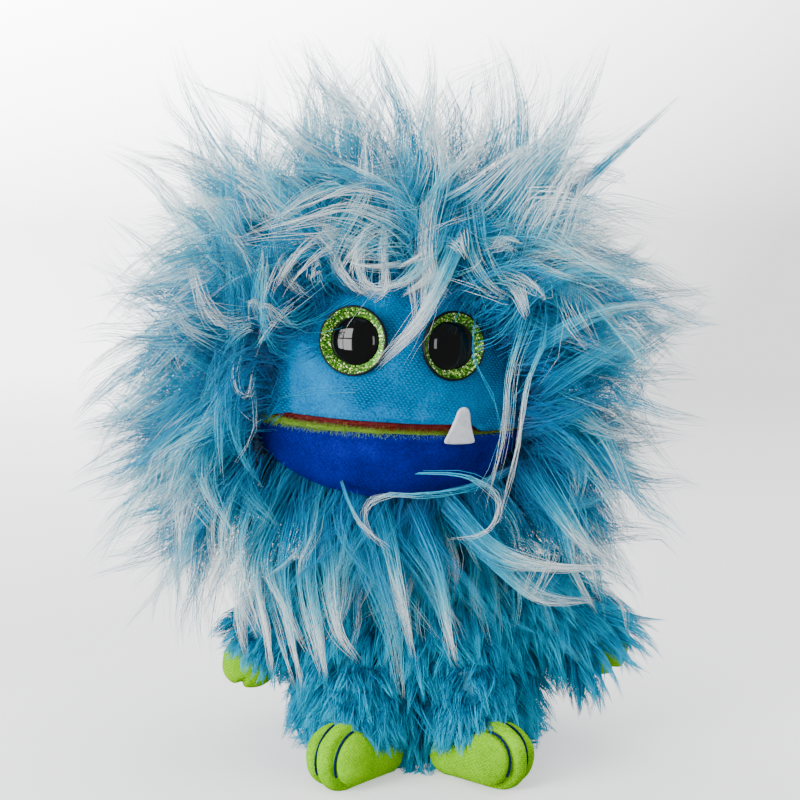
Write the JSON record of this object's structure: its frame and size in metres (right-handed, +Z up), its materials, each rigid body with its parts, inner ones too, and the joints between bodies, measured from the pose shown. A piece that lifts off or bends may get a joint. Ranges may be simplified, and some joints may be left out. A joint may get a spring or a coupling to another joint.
{
  "type": "moving mouth puppet",
  "caption": "Shaggy monster hand puppet with a hinged jaw, one felt fang, glittery plastic eyes and stuffed arms and legs, worn from below.",
  "frame": {"origin": "centre of the whole object's box on the surface it stands on", "axes": "+Z up, the face and the toes towards -Y, the fang on the +X side"},
  "size_m": [0.2079, 0.1617, 0.2511],
  "materials": {
    "teal_plush": "matte",
    "long_hair": "matte",
    "hair_backing": "matte",
    "face_velboa": "matte",
    "jaw_velboa": "matte",
    "stuffing": "matte",
    "lining": "matte",
    "board": "matte",
    "red_plush": "matte",
    "green_plush": "matte",
    "felt": "matte",
    "black_plastic": "gloss",
    "pupil_plastic": "gloss",
    "green_glitter": "gloss",
    "washer_plastic": "satin",
    "lime_velboa": "matte",
    "navy_thread": "satin"
  },
  "bodies": {
    "torso": {"body_front_plush": "teal_plush", "body_back_plush": "teal_plush", "belly_stuffing": "stuffing", "sleeve_lining": "lining", "hem_ring": "teal_plush"},
    "neck": {"neck_gusset": "teal_plush"},
    "head": {"head_stuffing": "stuffing", "face_panel": "face_velboa", "hood_left": "hair_backing", "hood_right": "hair_backing", "hood_back": "hair_backing", "hood_crown": "hair_backing", "mane_brow": "long_hair", "mane_left": "long_hair", "mane_right": "long_hair", "mane_back_left": "long_hair", "mane_back_right": "long_hair", "forelock": "long_hair", "upper_board": "board", "upper_cover": "red_plush", "mouth_fold": "red_plush", "finger_pocket": "lining", "eye_cup_left": "black_plastic", "eye_cup_right": "black_plastic", "eye_iris_left": "green_glitter", "eye_iris_right": "green_glitter", "eye_pupil_left": "pupil_plastic", "eye_pupil_right": "pupil_plastic", "eye_washer_left": "washer_plastic", "eye_washer_right": "washer_plastic"},
    "jaw": {"jaw_skin": "jaw_velboa", "jaw_stuffing": "stuffing", "jaw_board": "board", "jaw_cover": "green_plush", "thumb_pocket": "lining", "fang": "felt", "beard": "long_hair"},
    "arm_left": {"sleeve_left": "teal_plush", "arm_stuffing_left": "stuffing", "paw_left": "lime_velboa"},
    "leg_left": {"leg_plush_left": "teal_plush", "leg_stuffing_left": "stuffing", "foot_left": "lime_velboa", "toe_stitches_left": "navy_thread"},
    "arm_right": {"sleeve_right": "teal_plush", "arm_stuffing_right": "stuffing", "paw_right": "lime_velboa"},
    "leg_right": {"leg_plush_right": "teal_plush", "leg_stuffing_right": "stuffing", "foot_right": "lime_velboa", "toe_stitches_right": "navy_thread"}
  },
  "joints": [
    {"name": "neck_turn", "type": "hinge", "parent": "torso", "child": "neck", "pos_m": [0.004, 0.009, 0.094], "axis": [0, 0, 1], "range_deg": [-25, 25]},
    {"name": "head_nod", "type": "hinge", "parent": "neck", "child": "head", "pos_m": [0.004, 0.009, 0.094], "axis": [-0.9927, -0.1045, 0.0607], "range_deg": [-10, 14]},
    {"name": "jaw_hinge", "type": "hinge", "parent": "head", "child": "jaw", "pos_m": [-0.0015, -0.00487, 0.1284], "axis": [0.9927, 0.1045, -0.0607], "range_deg": [0, 28]},
    {"name": "shoulder_left", "type": "hinge", "parent": "torso", "child": "arm_left", "pos_m": [-0.0326, -0.004, 0.06], "axis": [0, 1, 0], "range_deg": [-8, 45], "stiffness_Nm_per_rad": 0.02},
    {"name": "shoulder_right", "type": "hinge", "parent": "torso", "child": "arm_right", "pos_m": [0.0546, -0.004, 0.06], "axis": [0, -1, 0], "range_deg": [-8, 45], "stiffness_Nm_per_rad": 0.02},
    {"name": "hip_left", "type": "hinge", "parent": "torso", "child": "leg_left", "pos_m": [-0.009, -0.0365, 0.03], "axis": [-1, 0, 0], "range_deg": [0, 50], "stiffness_Nm_per_rad": 0.02},
    {"name": "hip_right", "type": "hinge", "parent": "torso", "child": "leg_right", "pos_m": [0.031, -0.0365, 0.03], "axis": [-1, 0, 0], "range_deg": [0, 50], "stiffness_Nm_per_rad": 0.02}
  ]
}
